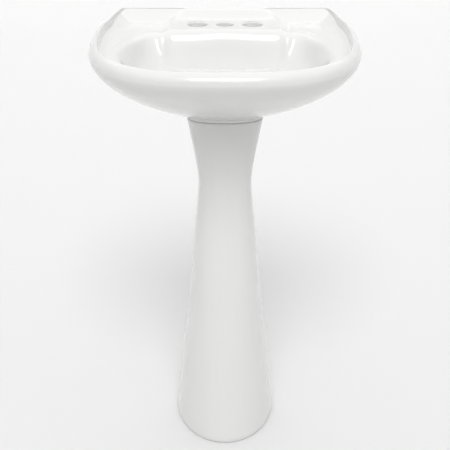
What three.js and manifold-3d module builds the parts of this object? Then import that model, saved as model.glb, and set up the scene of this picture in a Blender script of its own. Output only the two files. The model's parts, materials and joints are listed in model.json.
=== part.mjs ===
// Pedestal wash basin: a glazed china basin on a hollow china pedestal, with the
// pop-up drain, the P-trap and the fixings that hold it to the wall and the floor.
// Millimetres, +Z up, front towards -Y. The origin is on the floor below the
// middle of the basin, and the wall is the plane y = BASIN_DEPTH / 2.
import * as THREE from 'three';
import { mergeVertices } from 'three/addons/utils/BufferGeometryUtils.js';
import Module from 'manifold-3d';

const wasm = await Module();
wasm.setup();

// ---------------------------------------------------------------- driving dimensions
const BASIN_WIDTH = 467;
const BASIN_DEPTH = 422;
const RIM_HEIGHT = 830;
const BASIN_DROP = 140;
const DECK_DROP = 15;
const BOWL_DEPTH = 118;
const CHINA_WALL = 11;
const RIM_ROLL = 18;
const BACK_ROLL = 4;
const DRAIN_Y = 18;
const FAUCET_SPREAD = 101.6;
const SIDE_FAUCET_RADIUS = 17.7;
const MIDDLE_FAUCET_RADIUS = 15.2;
const FAUCET_FROM_WALL = 66;
const LEDGE_DEPTH = 31;
const HANGER_SPREAD = 228;
const HANGER_BELOW_RIM = 60;
const PEDESTAL_FOOT_HALF_WIDTH = 102;
const PEDESTAL_WAIST_HALF_WIDTH = 49;
const PEDESTAL_TOP_HALF_WIDTH = 68;
const PIPE_RADIUS = 15.9;
const PIPE_WALL = 1.3;
const TRAP_ARM_BELOW_RIM = 290;
const STOPPER_TRAVEL = 8;
const GAP = 0.3;

// ---------------------------------------------------------------- places worked out from them
const WALL_Y = BASIN_DEPTH / 2;
const HALF_WIDTH = BASIN_WIDTH / 2;
const PEDESTAL_HEIGHT = RIM_HEIGHT - BASIN_DROP;
const SEAT_Z = PEDESTAL_HEIGHT + GAP;
const DECK_Z = RIM_HEIGHT - DECK_DROP;
const BOWL_FLOOR_Z = DECK_Z - BOWL_DEPTH;
const BOSS_Z = BOWL_FLOOR_Z - CHINA_WALL - 2;
const DRAIN_BODY_RADIUS = PIPE_RADIUS + 3.1;
const DRAIN_HOLE_RADIUS = DRAIN_BODY_RADIUS + 3.25;
const BOSS_RADIUS = DRAIN_HOLE_RADIUS + 11.75;
const CREASE_Z = RIM_HEIGHT - 87;
const FAUCET_Y = WALL_Y - FAUCET_FROM_WALL;
const HANGER_Z = RIM_HEIGHT - HANGER_BELOW_RIM;
const TRAP_ARM_Z = RIM_HEIGHT - TRAP_ARM_BELOW_RIM;
const PEDESTAL_REAR_Y = 104;
const FOOT_FRONT_Y = -46;
const TOP_FRONT_Y = -45;
const TOP_WIDEST_Y = -3;
const SMALL = 1e-6;

// ---------------------------------------------------------------- materials
const glazedChina = () => new THREE.MeshStandardMaterial({ color: 0xf4f4f2, roughness: 0.12, metalness: 0 });
const chrome = () => new THREE.MeshStandardMaterial({ color: 0xd9dcdf, roughness: 0.1, metalness: 1 });
const brass = () => new THREE.MeshStandardMaterial({ color: 0xb08d4a, roughness: 0.35, metalness: 1 });
const zincSteel = () => new THREE.MeshStandardMaterial({ color: 0xa9adb0, roughness: 0.4, metalness: 1 });
const rubber = () => new THREE.MeshStandardMaterial({ color: 0x2b2b2b, roughness: 0.85, metalness: 0 });
const whitePlastic = () => new THREE.MeshStandardMaterial({ color: 0xe6e6e1, roughness: 0.5, metalness: 0 });

// ---------------------------------------------------------------- shaping helpers
// Smallest and largest of two values, blended only where they are closer than `blend`.
function softMin(a, b, blend) {
  const near = Math.max(blend - Math.abs(a - b), 0) / blend;
  return Math.min(a, b) - near * near * blend / 4;
}

function softMax(a, b, blend) {
  return -softMin(-a, -b, blend);
}

// Smooth curve through [x, y] pairs listed in order of x.
function curveThrough(points) {
  const slopes = points.map((p, i) => {
    const before = points[Math.max(i - 1, 0)];
    const after = points[Math.min(i + 1, points.length - 1)];
    return (after[1] - before[1]) / (after[0] - before[0]);
  });
  return (x) => {
    let i = 0;
    while (i < points.length - 2 && x > points[i + 1][0]) i += 1;
    const span = points[i + 1][0] - points[i][0];
    const t = THREE.MathUtils.clamp((x - points[i][0]) / span, 0, 1);
    const rise = points[i + 1][1] - points[i][1];
    const bend0 = slopes[i] * span - rise;
    const bend1 = rise - slopes[i + 1] * span;
    return points[i][1] + rise * t + t * (1 - t) * (bend0 * (1 - t) + bend1 * t);
  };
}

// Closed surface from a grid of points that wraps round both ways.
function wrappedGrid(rows, columns, pointAt) {
  const positions = [];
  for (let i = 0; i < rows; i += 1) {
    for (let j = 0; j < columns; j += 1) positions.push(...pointAt(i, j));
  }
  const index = [];
  for (let i = 0; i < rows; i += 1) {
    for (let j = 0; j < columns; j += 1) {
      const a = i * columns + j;
      const b = i * columns + (j + 1) % columns;
      const c = ((i + 1) % rows) * columns + (j + 1) % columns;
      const d = ((i + 1) % rows) * columns + j;
      index.push(a, c, b, a, d, c);
    }
  }
  const geometry = new THREE.BufferGeometry();
  geometry.setAttribute('position', new THREE.Float32BufferAttribute(positions, 3));
  geometry.setIndex(index);
  return geometry;
}

function solidOf(geometry) {
  const bare = new THREE.BufferGeometry();
  bare.setAttribute('position', geometry.getAttribute('position'));
  if (geometry.index) bare.setIndex(geometry.index);
  const merged = mergeVertices(bare, 1e-4);
  const corners = merged.index.array;
  const kept = [];
  for (let i = 0; i < corners.length; i += 3) {
    const [a, b, c] = [corners[i], corners[i + 1], corners[i + 2]];
    if (a !== b && b !== c && c !== a) kept.push(a, b, c);
  }
  return new wasm.Manifold(new wasm.Mesh({
    numProp: 3,
    vertProperties: Float32Array.from(merged.getAttribute('position').array),
    triVerts: Uint32Array.from(kept),
  }));
}

function geometryOf(solid) {
  const { numProp, vertProperties, triVerts } = solid.getMesh();
  const positions = [];
  for (let i = 0; i < vertProperties.length; i += numProp) {
    positions.push(vertProperties[i], vertProperties[i + 1], vertProperties[i + 2]);
  }
  const geometry = new THREE.BufferGeometry();
  geometry.setAttribute('position', new THREE.Float32BufferAttribute(positions, 3));
  geometry.setIndex(Array.from(triVerts));
  return geometry;
}

// Solid of revolution about Z from [radius, z] pairs; the outline closes on itself
// unless it starts and ends on the axis.
function turned(outline, segments = 24) {
  const points = outline.map(([r, z]) => new THREE.Vector2(r, z));
  const open = outline[0][0] > 0 || outline[outline.length - 1][0] > 0;
  if (open) points.push(points[0].clone());
  return new THREE.LatheGeometry(points, segments).rotateX(Math.PI / 2);
}

function ring(outer, inner, bottom, top, segments = 24) {
  return turned([[inner, bottom], [outer, bottom], [outer, top], [inner, top]], segments);
}

function rod(radius, bottom, top, segments = 20) {
  return turned([[0, bottom], [radius, bottom], [radius, top], [0, top]], segments);
}

function hexNut(acrossFlats, boreRadius, height) {
  const shape = new THREE.Shape();
  for (let i = 0; i < 6; i += 1) {
    const angle = i * Math.PI / 3;
    const radius = acrossFlats / Math.sqrt(3);
    const corner = [radius * Math.cos(angle), radius * Math.sin(angle)];
    if (i === 0) shape.moveTo(...corner);
    else shape.lineTo(...corner);
  }
  shape.closePath();
  shape.holes.push(new THREE.Path().absarc(0, 0, boreRadius, 0, 2 * Math.PI, true));
  return new THREE.ExtrudeGeometry(shape, { depth: height, bevelEnabled: false, curveSegments: 10 });
}

// Hollow pipe in the YZ plane. Each station is [y, z, heading, outer radius, inner
// radius]; a heading of 0 runs towards +Y and a quarter turn runs towards +Z.
function bentPipe(stations, segments = 18) {
  const outside = stations.map(([y, z, heading, outer]) => [y, z, heading, outer]);
  const inside = stations.map(([y, z, heading, , inner]) => [y, z, heading, inner]).reverse();
  const rows = [...outside, ...inside];
  return wrappedGrid(rows.length, segments, (i, j) => {
    const [y, z, heading, radius] = rows[i];
    const around = j / segments * 2 * Math.PI;
    const lift = radius * Math.sin(around);
    return [radius * Math.cos(around), y - lift * Math.sin(heading), z + lift * Math.cos(heading)];
  });
}

// Stations of a bend about (y, z) that turns from one heading to another.
function bendStations(y, z, bendRadius, from, to, outer, inner, steps = 8) {
  const side = to > from ? 1 : -1;
  return Array.from({ length: steps + 1 }, (_, i) => {
    const heading = from + (to - from) * i / steps;
    const centreY = y + side * bendRadius * Math.sin(heading);
    const centreZ = z - side * bendRadius * Math.cos(heading);
    return [centreY, centreZ, heading, outer, inner];
  });
}

function place(name, geometry, material, x = 0, y = 0, z = 0) {
  const mesh = new THREE.Mesh(geometry, material);
  mesh.name = name;
  mesh.position.set(x, y, z);
  return mesh;
}

// ---------------------------------------------------------------- plan curves of the basin
// Bearing of a point seen from the drain: 0 is the front, PI is the back.
function bearing(x, y) {
  return Math.atan2(Math.abs(x), DRAIN_Y - y);
}

// Smooth closed plan curve about the drain: radius by bearing, from points of the
// right half given as fractions of the half width and the half depth.
function planCurve(fractions) {
  const half = fractions.map(([fx, fy]) => {
    const x = fx * HALF_WIDTH;
    const y = fy * WALL_Y;
    return [bearing(x, y), Math.hypot(x, y - DRAIN_Y)];
  });
  const mirrored = [-half[1][0], half[1][1]];
  return curveThrough([mirrored, ...half]);
}

const rimOutline = planCurve([
  [0, -1], [0.25, -0.99], [0.5, -0.933], [0.7, -0.815], [0.84, -0.651], [0.93, -0.454], [0.98, -0.228],
  [0.998, 0], [1, 0.18], [0.991, 0.398], [0.967, 0.56], [0.925, 0.711], [0.873, 0.874], [0.812, 1.09],
]);
const creaseOutline = planCurve([
  [0, -0.6], [0.5, -0.4], [0.735, 0.009], [0.745, 0.35], [0.7, 0.8], [0.66, 1.09],
]);
const openingOutline = planCurve([
  [0, -0.73], [0.257, -0.716], [0.441, -0.672], [0.6, -0.584], [0.711, -0.459], [0.771, -0.304],
  [0.785, -0.095], [0.757, 0.09], [0.664, 0.37], [0.488, 0.62], [0.293, 0.7],
]);

// Distance in from a plan curve, measured square to it.
function insetFrom(curve, x, y) {
  const angle = bearing(x, y);
  const radius = curve(angle);
  const lean = (curve(angle + 0.01) - curve(angle - 0.01)) / 0.02 / radius;
  return (radius - Math.hypot(x, y - DRAIN_Y)) / Math.hypot(1, lean);
}

// Roundness of the pedestal's plan: an ellipse at the foot and a fuller curve at the top.
function planPower(height) {
  return THREE.MathUtils.lerp(2.05, 2.4, height / PEDESTAL_HEIGHT);
}

function backLine(angle, y) {
  const reach = -Math.cos(angle);
  return reach > 0.01 ? (y - DRAIN_Y) / reach : 1e4;
}

// Radius of the pedestal-shaped collar under the basin, less an inset: a rounded
// front like the pedestal's, with straight sides behind it.
function collarRadius(angle, inset) {
  const power = planPower(PEDESTAL_HEIGHT);
  const half = PEDESTAL_TOP_HALF_WIDTH - inset;
  const reach = TOP_WIDEST_Y - TOP_FRONT_Y - inset;
  let [low, high] = [0, 3 * half];
  for (let i = 0; i < 40; i += 1) {
    const middle = (low + high) / 2;
    const across = middle * Math.abs(Math.sin(angle)) / half;
    const ahead = Math.max(TOP_WIDEST_Y - DRAIN_Y + middle * Math.cos(angle), 0) / reach;
    if (across ** power + ahead ** power < 1) low = middle;
    else high = middle;
  }
  return softMin(low, backLine(angle, 98 - inset), 8);
}

// ---------------------------------------------------------------- basin surfaces
// Rear edge of the bowl: straight below the faucets, a forward tip each side of
// them, and a rounded lobe beyond each tip.
function bowlRearEdge(x) {
  const across = Math.abs(x);
  const tip = 4 * Math.exp(-(((across - 112) / 9) ** 2));
  const lobe = 6 * Math.exp(-(((across - 139) / 17) ** 2));
  return WALL_Y - 118 - tip + lobe;
}

function insideBowl(x, y) {
  return softMin(insetFrom(openingOutline, x, y), bowlRearEdge(x) - y, 24);
}

// Height of the rim, the rear ledge, the faucet deck and the soap dishes.
function deckHeight(x, y) {
  const inset = insetFrom(rimOutline, x, y);
  const rim = RIM_HEIGHT - 0.16 * softMax(inset - 20, 0, 12);
  const ledge = RIM_HEIGHT - 0.42 * softMax(WALL_Y - 6 - y, 0, 8);
  const deck = softMax(softMax(rim, ledge, 5), DECK_Z, 5);
  const across = Math.abs(x);
  const beyond = Math.max(113 - across, y - (WALL_Y - LEDGE_DEPTH - 8), 9 + insideBowl(x, y), 30 - inset);
  const dish = DECK_Z - 4.5 + 0.5 * softMax(beyond, 0, 8);
  return softMin(deck, dish, 4);
}

// The tips and lobes shape only the edge: further in, the bowl follows a plainer curve.
function basinTop(x, y) {
  const middle = 1 - THREE.MathUtils.smoothstep(Math.abs(x), 40, 130);
  const edge = softMax(insideBowl(x, y) - 4 * middle, 0, 12 + 12 * middle);
  const plain = softMin(insetFrom(openingOutline, x, y) + 12, WALL_Y - 100 - y, 72);
  const inside = THREE.MathUtils.lerp(edge, softMax(plain, 0, 12), THREE.MathUtils.smoothstep(edge, 0, 28));
  const fromFloor = Math.max(Math.hypot(x, y - DRAIN_Y) - BOSS_RADIUS, 0);
  const down = inside / (inside + fromFloor + SMALL);
  return deckHeight(x, y) - BOWL_DEPTH * (1 - (1 - down) ** 1.9);
}

// Underside of the bowl and the deck: the lowest reach of a ball of one wall
// thickness that rolls over the top surface.
function basinUnderside(x, y) {
  let lowest = basinTop(x, y) - CHINA_WALL;
  for (const [reach, rise] of [[0.6, 0.8], [0.98, 0.2]]) {
    for (let i = 0; i < 8; i += 1) {
      const turn = i * Math.PI / 4;
      const sideX = x + reach * CHINA_WALL * Math.cos(turn);
      const sideY = y + reach * CHINA_WALL * Math.sin(turn);
      lowest = Math.min(lowest, basinTop(sideX, sideY) - rise * CHINA_WALL);
    }
  }
  return lowest;
}

function bowlEdgeRadius(angle) {
  let [low, high] = [BOSS_RADIUS + 5, rimOutline(angle)];
  for (let i = 0; i < 30; i += 1) {
    const middle = (low + high) / 2;
    const x = middle * Math.sin(angle);
    const y = DRAIN_Y - middle * Math.cos(angle);
    if (insideBowl(x, y) > 0) low = middle;
    else high = middle;
  }
  return low;
}

// Bearings of the grid lines, closest together across the lobes and rear corners.
function spread(from, to, steps) {
  return Array.from({ length: steps }, (_, i) => from + (to - from) * i / steps);
}
const RIGHT_BEARINGS = [...spread(0, 1.75, 17), ...spread(1.75, 2.5, 18), ...spread(2.5, Math.PI, 9)];
const LEFT_BEARINGS = RIGHT_BEARINGS.slice(1).reverse().map((angle) => 2 * Math.PI - angle);
const BEARINGS = [...RIGHT_BEARINGS, Math.PI, ...LEFT_BEARINGS];

// One grid line of the basin: from the drain hole over the bowl, the rim and the
// apron, and back under the body, as [radius, z] pairs. The apron is one full curve
// at the front and sides, and turns into a skirt along the back.
function basinLine(angle) {
  const fold = Math.abs(angle > Math.PI ? angle - 2 * Math.PI : angle);
  const onTop = (radius) => {
    const x = radius * Math.sin(fold);
    const y = DRAIN_Y - radius * Math.cos(fold);
    return [radius, basinTop(x, y)];
  };
  const outlineAt = (curve) => softMin(curve(fold), backLine(fold, WALL_Y), 14);
  const rim = outlineAt(rimOutline);
  const crease = outlineAt(creaseOutline);
  const atBack = THREE.MathUtils.smoothstep(fold, 2, 2.3);
  const roll = THREE.MathUtils.lerp(RIM_ROLL, BACK_ROLL, atBack);
  const crest = rim - roll;
  const edge = Math.min(bowlEdgeRadius(fold), crest - 20);
  const lerp = THREE.MathUtils.lerp;
  const bowl = [0.3, 0.55, 0.76, 0.9, 1].map((f) => onTop(lerp(BOSS_RADIUS, edge, f)));
  const deck = [0.12, 0.26, 0.42, 0.6, 0.8].map((f) => onTop(lerp(edge, crest, f)));
  const rollOver = [0, 30, 60, 90].map((degrees) => {
    const turn = THREE.MathUtils.degToRad(degrees);
    return [crest + roll * Math.sin(turn), RIM_HEIGHT - roll * (1 - Math.cos(turn))];
  });
  const collar = collarRadius(fold, 0);
  const apronTop = RIM_HEIGHT - roll;
  const apronEnd = SEAT_Z + 6.5;
  const toSide = THREE.MathUtils.smoothstep(fold, 0, Math.PI / 2);
  const toBack = THREE.MathUtils.smoothstep(fold, 1.4, 1.72);
  const skirt = [0.3, 0.5, 0.7, 0.86, 1].map((f) => [
    lerp(rim, crease, f ** 1.7),
    lerp(apronTop, CREASE_Z, f),
  ]);
  const under = [0.3, 0.6, 1].map((f) => [
    lerp(crease, collar, f),
    lerp(CREASE_Z, apronEnd, 1 - (1 - f) ** 1.85),
  ]);
  const apron = [...skirt, ...under].map(([backRadius, backZ], i) => {
    const turn = (i + 1) / 8 * Math.PI / 2;
    const out = Math.max(Math.cos(turn), 0) ** (2 / lerp(1, 1.1, toSide));
    const down = Math.sin(turn) ** (2 / lerp(1.53, 1.74, toSide));
    const radius = lerp(collar, rim, out);
    const z = lerp(apronTop, apronEnd, down);
    return [lerp(radius, backRadius, toBack), lerp(z, backZ, toBack)];
  });
  const inner = collarRadius(fold, CHINA_WALL + 3);
  return [
    [DRAIN_HOLE_RADIUS, BOWL_FLOOR_Z],
    [BOSS_RADIUS, BOWL_FLOOR_Z],
    ...bowl,
    ...deck,
    ...rollOver,
    ...apron,
    [collar, SEAT_Z + 1.5],
    [collar - 1, SEAT_Z],
    [inner, SEAT_Z],
    [inner, BOSS_Z],
    [DRAIN_HOLE_RADIUS, BOSS_Z],
  ];
}

// Space under the deck and round the bowl, open below.
function cavityLine(angle) {
  const fold = Math.abs(angle > Math.PI ? angle - 2 * Math.PI : angle);
  const wide = softMin(creaseOutline(fold) - CHINA_WALL, backLine(fold, WALL_Y - CHINA_WALL), 14);
  const narrow = collarRadius(fold, CHINA_WALL + 3);
  const opening = THREE.MathUtils.smoothstep(fold, 1.72, 1.8);
  const outer = THREE.MathUtils.lerp(narrow, wide, opening);
  const top = [0, 0.12, 0.26, 0.4, 0.54, 0.68, 0.84, 1].map((f) => {
    const radius = THREE.MathUtils.lerp(BOSS_RADIUS, outer, f);
    const x = radius * Math.sin(fold);
    const y = DRAIN_Y - radius * Math.cos(fold);
    return [radius, Math.max(basinUnderside(x, y), BOSS_Z + 2)];
  });
  return [...top, [outer, BOSS_Z - 80], [BOSS_RADIUS, BOSS_Z - 80]];
}

function roundDrain(lineAt) {
  const lines = BEARINGS.map(lineAt);
  return wrappedGrid(lines[0].length, BEARINGS.length, (i, j) => {
    const [radius, z] = lines[j][i];
    return [radius * Math.sin(BEARINGS[j]), DRAIN_Y - radius * Math.cos(BEARINGS[j]), z];
  });
}

function faucetHoles() {
  return [-1, 0, 1].map((side) => {
    const radius = side === 0 ? MIDDLE_FAUCET_RADIUS : SIDE_FAUCET_RADIUS;
    return rod(radius, DECK_Z - 40, DECK_Z + 20, 24).translate(side * FAUCET_SPREAD / 2, FAUCET_Y, 0);
  });
}

function hangerHoles() {
  return [-1, 1].map((side) => rod(7, -40, 5, 16)
    .rotateX(-Math.PI / 2)
    .translate(side * HANGER_SPREAD / 2, WALL_Y, HANGER_Z));
}

function basin() {
  let body = solidOf(roundDrain(basinLine)).subtract(solidOf(roundDrain(cavityLine)));
  for (const tool of [...faucetHoles(), ...hangerHoles()]) body = body.subtract(solidOf(tool));
  return place('basin', geometryOf(body), glazedChina());
}

// ---------------------------------------------------------------- pedestal
const pedestalHalfWidth = curveThrough([
  [0, PEDESTAL_FOOT_HALF_WIDTH + 1.2],
  [0.21 * PEDESTAL_HEIGHT, lerpWidth(0.745)],
  [0.45 * PEDESTAL_HEIGHT, lerpWidth(0.41)],
  [0.66 * PEDESTAL_HEIGHT, lerpWidth(0.155)],
  [0.76 * PEDESTAL_HEIGHT, lerpWidth(0.032)],
  [0.816 * PEDESTAL_HEIGHT, PEDESTAL_WAIST_HALF_WIDTH],
  [0.87 * PEDESTAL_HEIGHT, PEDESTAL_WAIST_HALF_WIDTH + 3.8],
  [PEDESTAL_HEIGHT, PEDESTAL_TOP_HALF_WIDTH],
]);

// Half width part of the way from the waist (0) to the foot (1).
function lerpWidth(part) {
  return THREE.MathUtils.lerp(PEDESTAL_WAIST_HALF_WIDTH, PEDESTAL_FOOT_HALF_WIDTH, part);
}

const pedestalFront = curveThrough([
  [0, FOOT_FRONT_Y],
  [0.45 * PEDESTAL_HEIGHT, FOOT_FRONT_Y + 9],
  [0.816 * PEDESTAL_HEIGHT, TOP_FRONT_Y + 21],
  [PEDESTAL_HEIGHT, TOP_FRONT_Y],
]);
const pedestalWidest = curveThrough([
  [0, PEDESTAL_REAR_Y - 1],
  [0.45 * PEDESTAL_HEIGHT, TOP_WIDEST_Y + 57],
  [0.816 * PEDESTAL_HEIGHT, TOP_WIDEST_Y + 17],
  [PEDESTAL_HEIGHT, TOP_WIDEST_Y],
]);

// Plan of the pedestal wall at one height, from the left rear edge round the front
// to the right rear edge, drawn in by an inset.
function pedestalSection(height, inset) {
  const half = pedestalHalfWidth(height) - inset;
  const widest = pedestalWidest(height);
  const reach = widest - pedestalFront(height) - inset;
  const power = planPower(height);
  const sides = [PEDESTAL_REAR_Y, (PEDESTAL_REAR_Y + widest) / 2];
  const left = sides.map((y) => [-half, y]);
  const right = sides.map((y) => [half, y]).reverse();
  const front = Array.from({ length: 21 }, (_, i) => {
    const angle = (i / 20 - 0.5) * Math.PI;
    const across = Math.sign(angle) * Math.abs(Math.sin(angle)) ** (2 / power);
    return [half * across, widest - reach * Math.max(Math.cos(angle), 0) ** (2 / power)];
  });
  return [...left, ...front, ...right];
}

function pedestalShell() {
  const top = PEDESTAL_HEIGHT;
  const levels = [
    [0, 4], [4, 1.4], [14, 0], [0.12 * top, 0], [0.24 * top, 0], [0.36 * top, 0], [0.48 * top, 0],
    [0.6 * top, 0], [0.7 * top, 0], [0.77 * top, 0], [0.82 * top, 0], [0.87 * top, 0],
    [0.93 * top, 0], [top - 3, 0], [top, 1.5],
  ];
  const loopAt = (height, inset) => pedestalSection(height, inset).map(([x, y]) => [x, y, height]);
  const outer = levels.map(([height, inset]) => loopAt(height, inset));
  const inner = levels.map(([height]) => loopAt(height, CHINA_WALL));
  const loops = levels.map((_, i) => [...outer[i], ...inner[i].reverse()]);
  const count = loops[0].length;
  const half = count / 2;
  const positions = loops.flat(2);
  const index = [];
  for (let i = 0; i < loops.length - 1; i += 1) {
    for (let j = 0; j < count; j += 1) {
      const a = i * count + j;
      const b = i * count + (j + 1) % count;
      index.push(a, b, b + count, a, b + count, a + count);
    }
  }
  const lid = (loops.length - 1) * count;
  for (let j = 0; j < half - 1; j += 1) {
    const [a, b, c, d] = [j, j + 1, count - 2 - j, count - 1 - j];
    index.push(a, c, b, a, d, c, lid + a, lid + b, lid + c, lid + a, lid + c, lid + d);
  }
  const geometry = new THREE.BufferGeometry();
  geometry.setAttribute('position', new THREE.Float32BufferAttribute(positions, 3));
  geometry.setIndex(index);
  return geometry;
}

const FLOOR_SCREW_X = 45;
const FLOOR_SCREW_Y = 78;
const WEB_HEIGHT = 12;

function pedestal() {
  const web = new THREE.BoxGeometry(2 * (PEDESTAL_FOOT_HALF_WIDTH - CHINA_WALL + 3), 44, WEB_HEIGHT)
    .translate(0, FLOOR_SCREW_Y, WEB_HEIGHT / 2);
  let body = solidOf(pedestalShell()).add(solidOf(web));
  for (const side of [-1, 1]) {
    const hole = rod(5, -5, WEB_HEIGHT + 5, 16).translate(side * FLOOR_SCREW_X, FLOOR_SCREW_Y, 0);
    body = body.subtract(solidOf(hole));
  }
  return place('pedestal', geometryOf(body), glazedChina());
}

// ---------------------------------------------------------------- pop-up drain
const FLANGE_RADIUS = DRAIN_HOLE_RADIUS + 8.75;
const DRAIN_BORE = PIPE_RADIUS + 0.6;
const FLANGE_BOTTOM_Z = BOWL_FLOOR_Z + 1.6;
const FLANGE_TOP_Z = FLANGE_BOTTOM_Z + 2.6;
const DRAIN_BODY_END_Z = BOSS_Z - 60;
const GUIDE_TOP_Z = FLANGE_TOP_Z - 42;
const CAP_Z = FLANGE_TOP_Z + STOPPER_TRAVEL + GAP;

function drainBody() {
  return place('drain_body', turned([
    [DRAIN_BORE, DRAIN_BODY_END_Z],
    [DRAIN_BODY_RADIUS, DRAIN_BODY_END_Z],
    [DRAIN_BODY_RADIUS, FLANGE_BOTTOM_Z],
    [FLANGE_RADIUS, FLANGE_BOTTOM_Z],
    [FLANGE_RADIUS - 1, FLANGE_BOTTOM_Z + 1.2],
    [DRAIN_BORE + 4, FLANGE_TOP_Z],
    [DRAIN_BORE + 1.5, FLANGE_TOP_Z - 0.4],
    [DRAIN_BORE, FLANGE_TOP_Z - 3],
  ], 36), chrome(), 0, DRAIN_Y);
}

function flangeGasket() {
  const bottom = BOWL_FLOOR_Z + 0.1;
  const seal = ring(FLANGE_RADIUS - 2, DRAIN_HOLE_RADIUS + 1, bottom, FLANGE_BOTTOM_Z - 0.1, 36);
  return place('flange_gasket', seal, rubber(), 0, DRAIN_Y);
}

function lowerGasket() {
  const top = BOSS_Z - 0.2;
  return place('lower_gasket', turned([
    [DRAIN_BODY_RADIUS + GAP, top - 9],
    [DRAIN_BODY_RADIUS + 12, top - 9],
    [DRAIN_BODY_RADIUS + 12, top - 5],
    [DRAIN_BODY_RADIUS + 9, top],
    [DRAIN_BODY_RADIUS + GAP, top],
  ], 30), rubber(), 0, DRAIN_Y);
}

function frictionWasher() {
  const top = BOSS_Z - 9.5;
  const washer = ring(DRAIN_BODY_RADIUS + 12, DRAIN_BODY_RADIUS + GAP, top - 1.5, top, 30);
  return place('friction_washer', washer, whitePlastic(), 0, DRAIN_Y);
}

function drainLocknut() {
  return place('drain_locknut', hexNut(2 * DRAIN_BODY_RADIUS + 14, DRAIN_BODY_RADIUS + GAP, 9), brass(), 0, DRAIN_Y, BOSS_Z - 20.3);
}

function stopperCap() {
  return place('stopper_cap', turned([
    [0, CAP_Z],
    [DRAIN_BORE + 2, CAP_Z],
    [DRAIN_BORE + 2.6, CAP_Z + 1],
    [DRAIN_BORE + 1, CAP_Z + 2.4],
    [DRAIN_BORE * 0.6, CAP_Z + 3.7],
    [0, CAP_Z + 4.3],
  ], 36), chrome(), 0, DRAIN_Y);
}

function stopperSeal() {
  const top = CAP_Z - 0.2;
  return place('stopper_seal', turned([
    [DRAIN_BORE - 4, top - 2.8],
    [DRAIN_BORE - 1, top - 2.8],
    [DRAIN_BORE - 0.4, top - 1.4],
    [DRAIN_BORE - 1, top],
    [DRAIN_BORE - 4, top],
  ], 30), rubber(), 0, DRAIN_Y);
}

// Stem with the shoulder that holds the seal and the collar that the spring lifts.
function stopperPlunger() {
  const top = CAP_Z - 0.2;
  const collar = top - 16;
  return place('stopper_plunger', turned([
    [0, GUIDE_TOP_Z - 22],
    [3.6, GUIDE_TOP_Z - 22],
    [4, GUIDE_TOP_Z - 21],
    [4, collar - 2.5],
    [8.5, collar - 2.5],
    [8.5, collar],
    [6, collar + 2],
    [6, top - 5.5],
    [11.5, top - 3.6],
    [11.5, top],
    [0, top],
  ], 20), whitePlastic(), 0, DRAIN_Y);
}

function stopperSpring() {
  const bottom = GUIDE_TOP_Z + GAP + 0.6;
  const top = CAP_Z - 0.2 - 16 - 2.5 - GAP - 0.6;
  const coils = 5;
  class Coil extends THREE.Curve {
    getPoint(t, target = new THREE.Vector3()) {
      const angle = t * coils * 2 * Math.PI;
      return target.set(6.4 * Math.cos(angle), 6.4 * Math.sin(angle), bottom + (top - bottom) * t);
    }
  }
  const wire = new THREE.Shape().absarc(0, 0, 0.55, 0, 2 * Math.PI);
  const sweep = { steps: coils * 12, extrudePath: new Coil(), curveSegments: 3 };
  const coil = new THREE.ExtrudeGeometry(wire, sweep);
  return place('stopper_spring', coil, zincSteel(), 0, DRAIN_Y);
}

// Cross-shaped guide held in the bore of the drain body.
function stopperCartridge() {
  const height = 7;
  const outer = DRAIN_BORE - 0.25;
  let guide = solidOf(ring(outer, outer - 1.6, GUIDE_TOP_Z - height, GUIDE_TOP_Z, 30))
    .add(solidOf(ring(8.6, 4.5, GUIDE_TOP_Z - height, GUIDE_TOP_Z, 30)));
  for (let i = 0; i < 4; i += 1) {
    const arm = new THREE.BoxGeometry(outer - 8.2, 2, height - 1)
      .translate((outer + 7) / 2, 0, GUIDE_TOP_Z - height / 2)
      .rotateZ(i * Math.PI / 2);
    guide = guide.add(solidOf(arm));
  }
  return place('stopper_cartridge', geometryOf(guide), whitePlastic(), 0, DRAIN_Y);
}

// ---------------------------------------------------------------- waste pipe and trap
const TRAP_BEND_RADIUS = 2 * PIPE_RADIUS + 0.2;
const TRAP_INLET_Z = TRAP_ARM_Z - 22;
const TRAP_BEND_Z = TRAP_ARM_Z - 82;
const UNION_Z = TRAP_ARM_Z - 46;
const TRAP_Y = DRAIN_Y + 2 * TRAP_BEND_RADIUS;
const SOCKET_RADIUS = PIPE_RADIUS + 2.6;
const PIPE_BORE = PIPE_RADIUS - PIPE_WALL;

function tailpiece() {
  const bottom = TRAP_INLET_Z - 26;
  const top = DRAIN_BODY_END_Z + 14;
  return place('tailpiece', ring(PIPE_RADIUS, PIPE_BORE, bottom, top, 24), chrome(), 0, DRAIN_Y);
}

// Round nut with grip ribs and a lip that turns in round the pipe.
function slipNut(name, y, z) {
  const height = 15;
  const ribbed = new THREE.Shape();
  const ribs = 12;
  for (let i = 0; i < 2 * ribs; i += 1) {
    const angle = i / ribs * Math.PI;
    const radius = SOCKET_RADIUS + (i % 2 ? 3.6 : 5);
    const corner = [radius * Math.cos(angle), radius * Math.sin(angle)];
    if (i === 0) ribbed.moveTo(...corner);
    else ribbed.lineTo(...corner);
  }
  ribbed.closePath();
  ribbed.holes.push(new THREE.Path().absarc(0, 0, SOCKET_RADIUS + GAP, 0, 2 * Math.PI, true));
  const sweep = { depth: height - 3, bevelEnabled: false, curveSegments: 12 };
  const skirt = new THREE.ExtrudeGeometry(ribbed, sweep);
  const lip = ring(SOCKET_RADIUS + 3.4, PIPE_RADIUS + GAP, height - 4, height, 24);
  return place(name, geometryOf(solidOf(skirt).add(solidOf(lip))), chrome(), 0, y, z);
}

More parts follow.
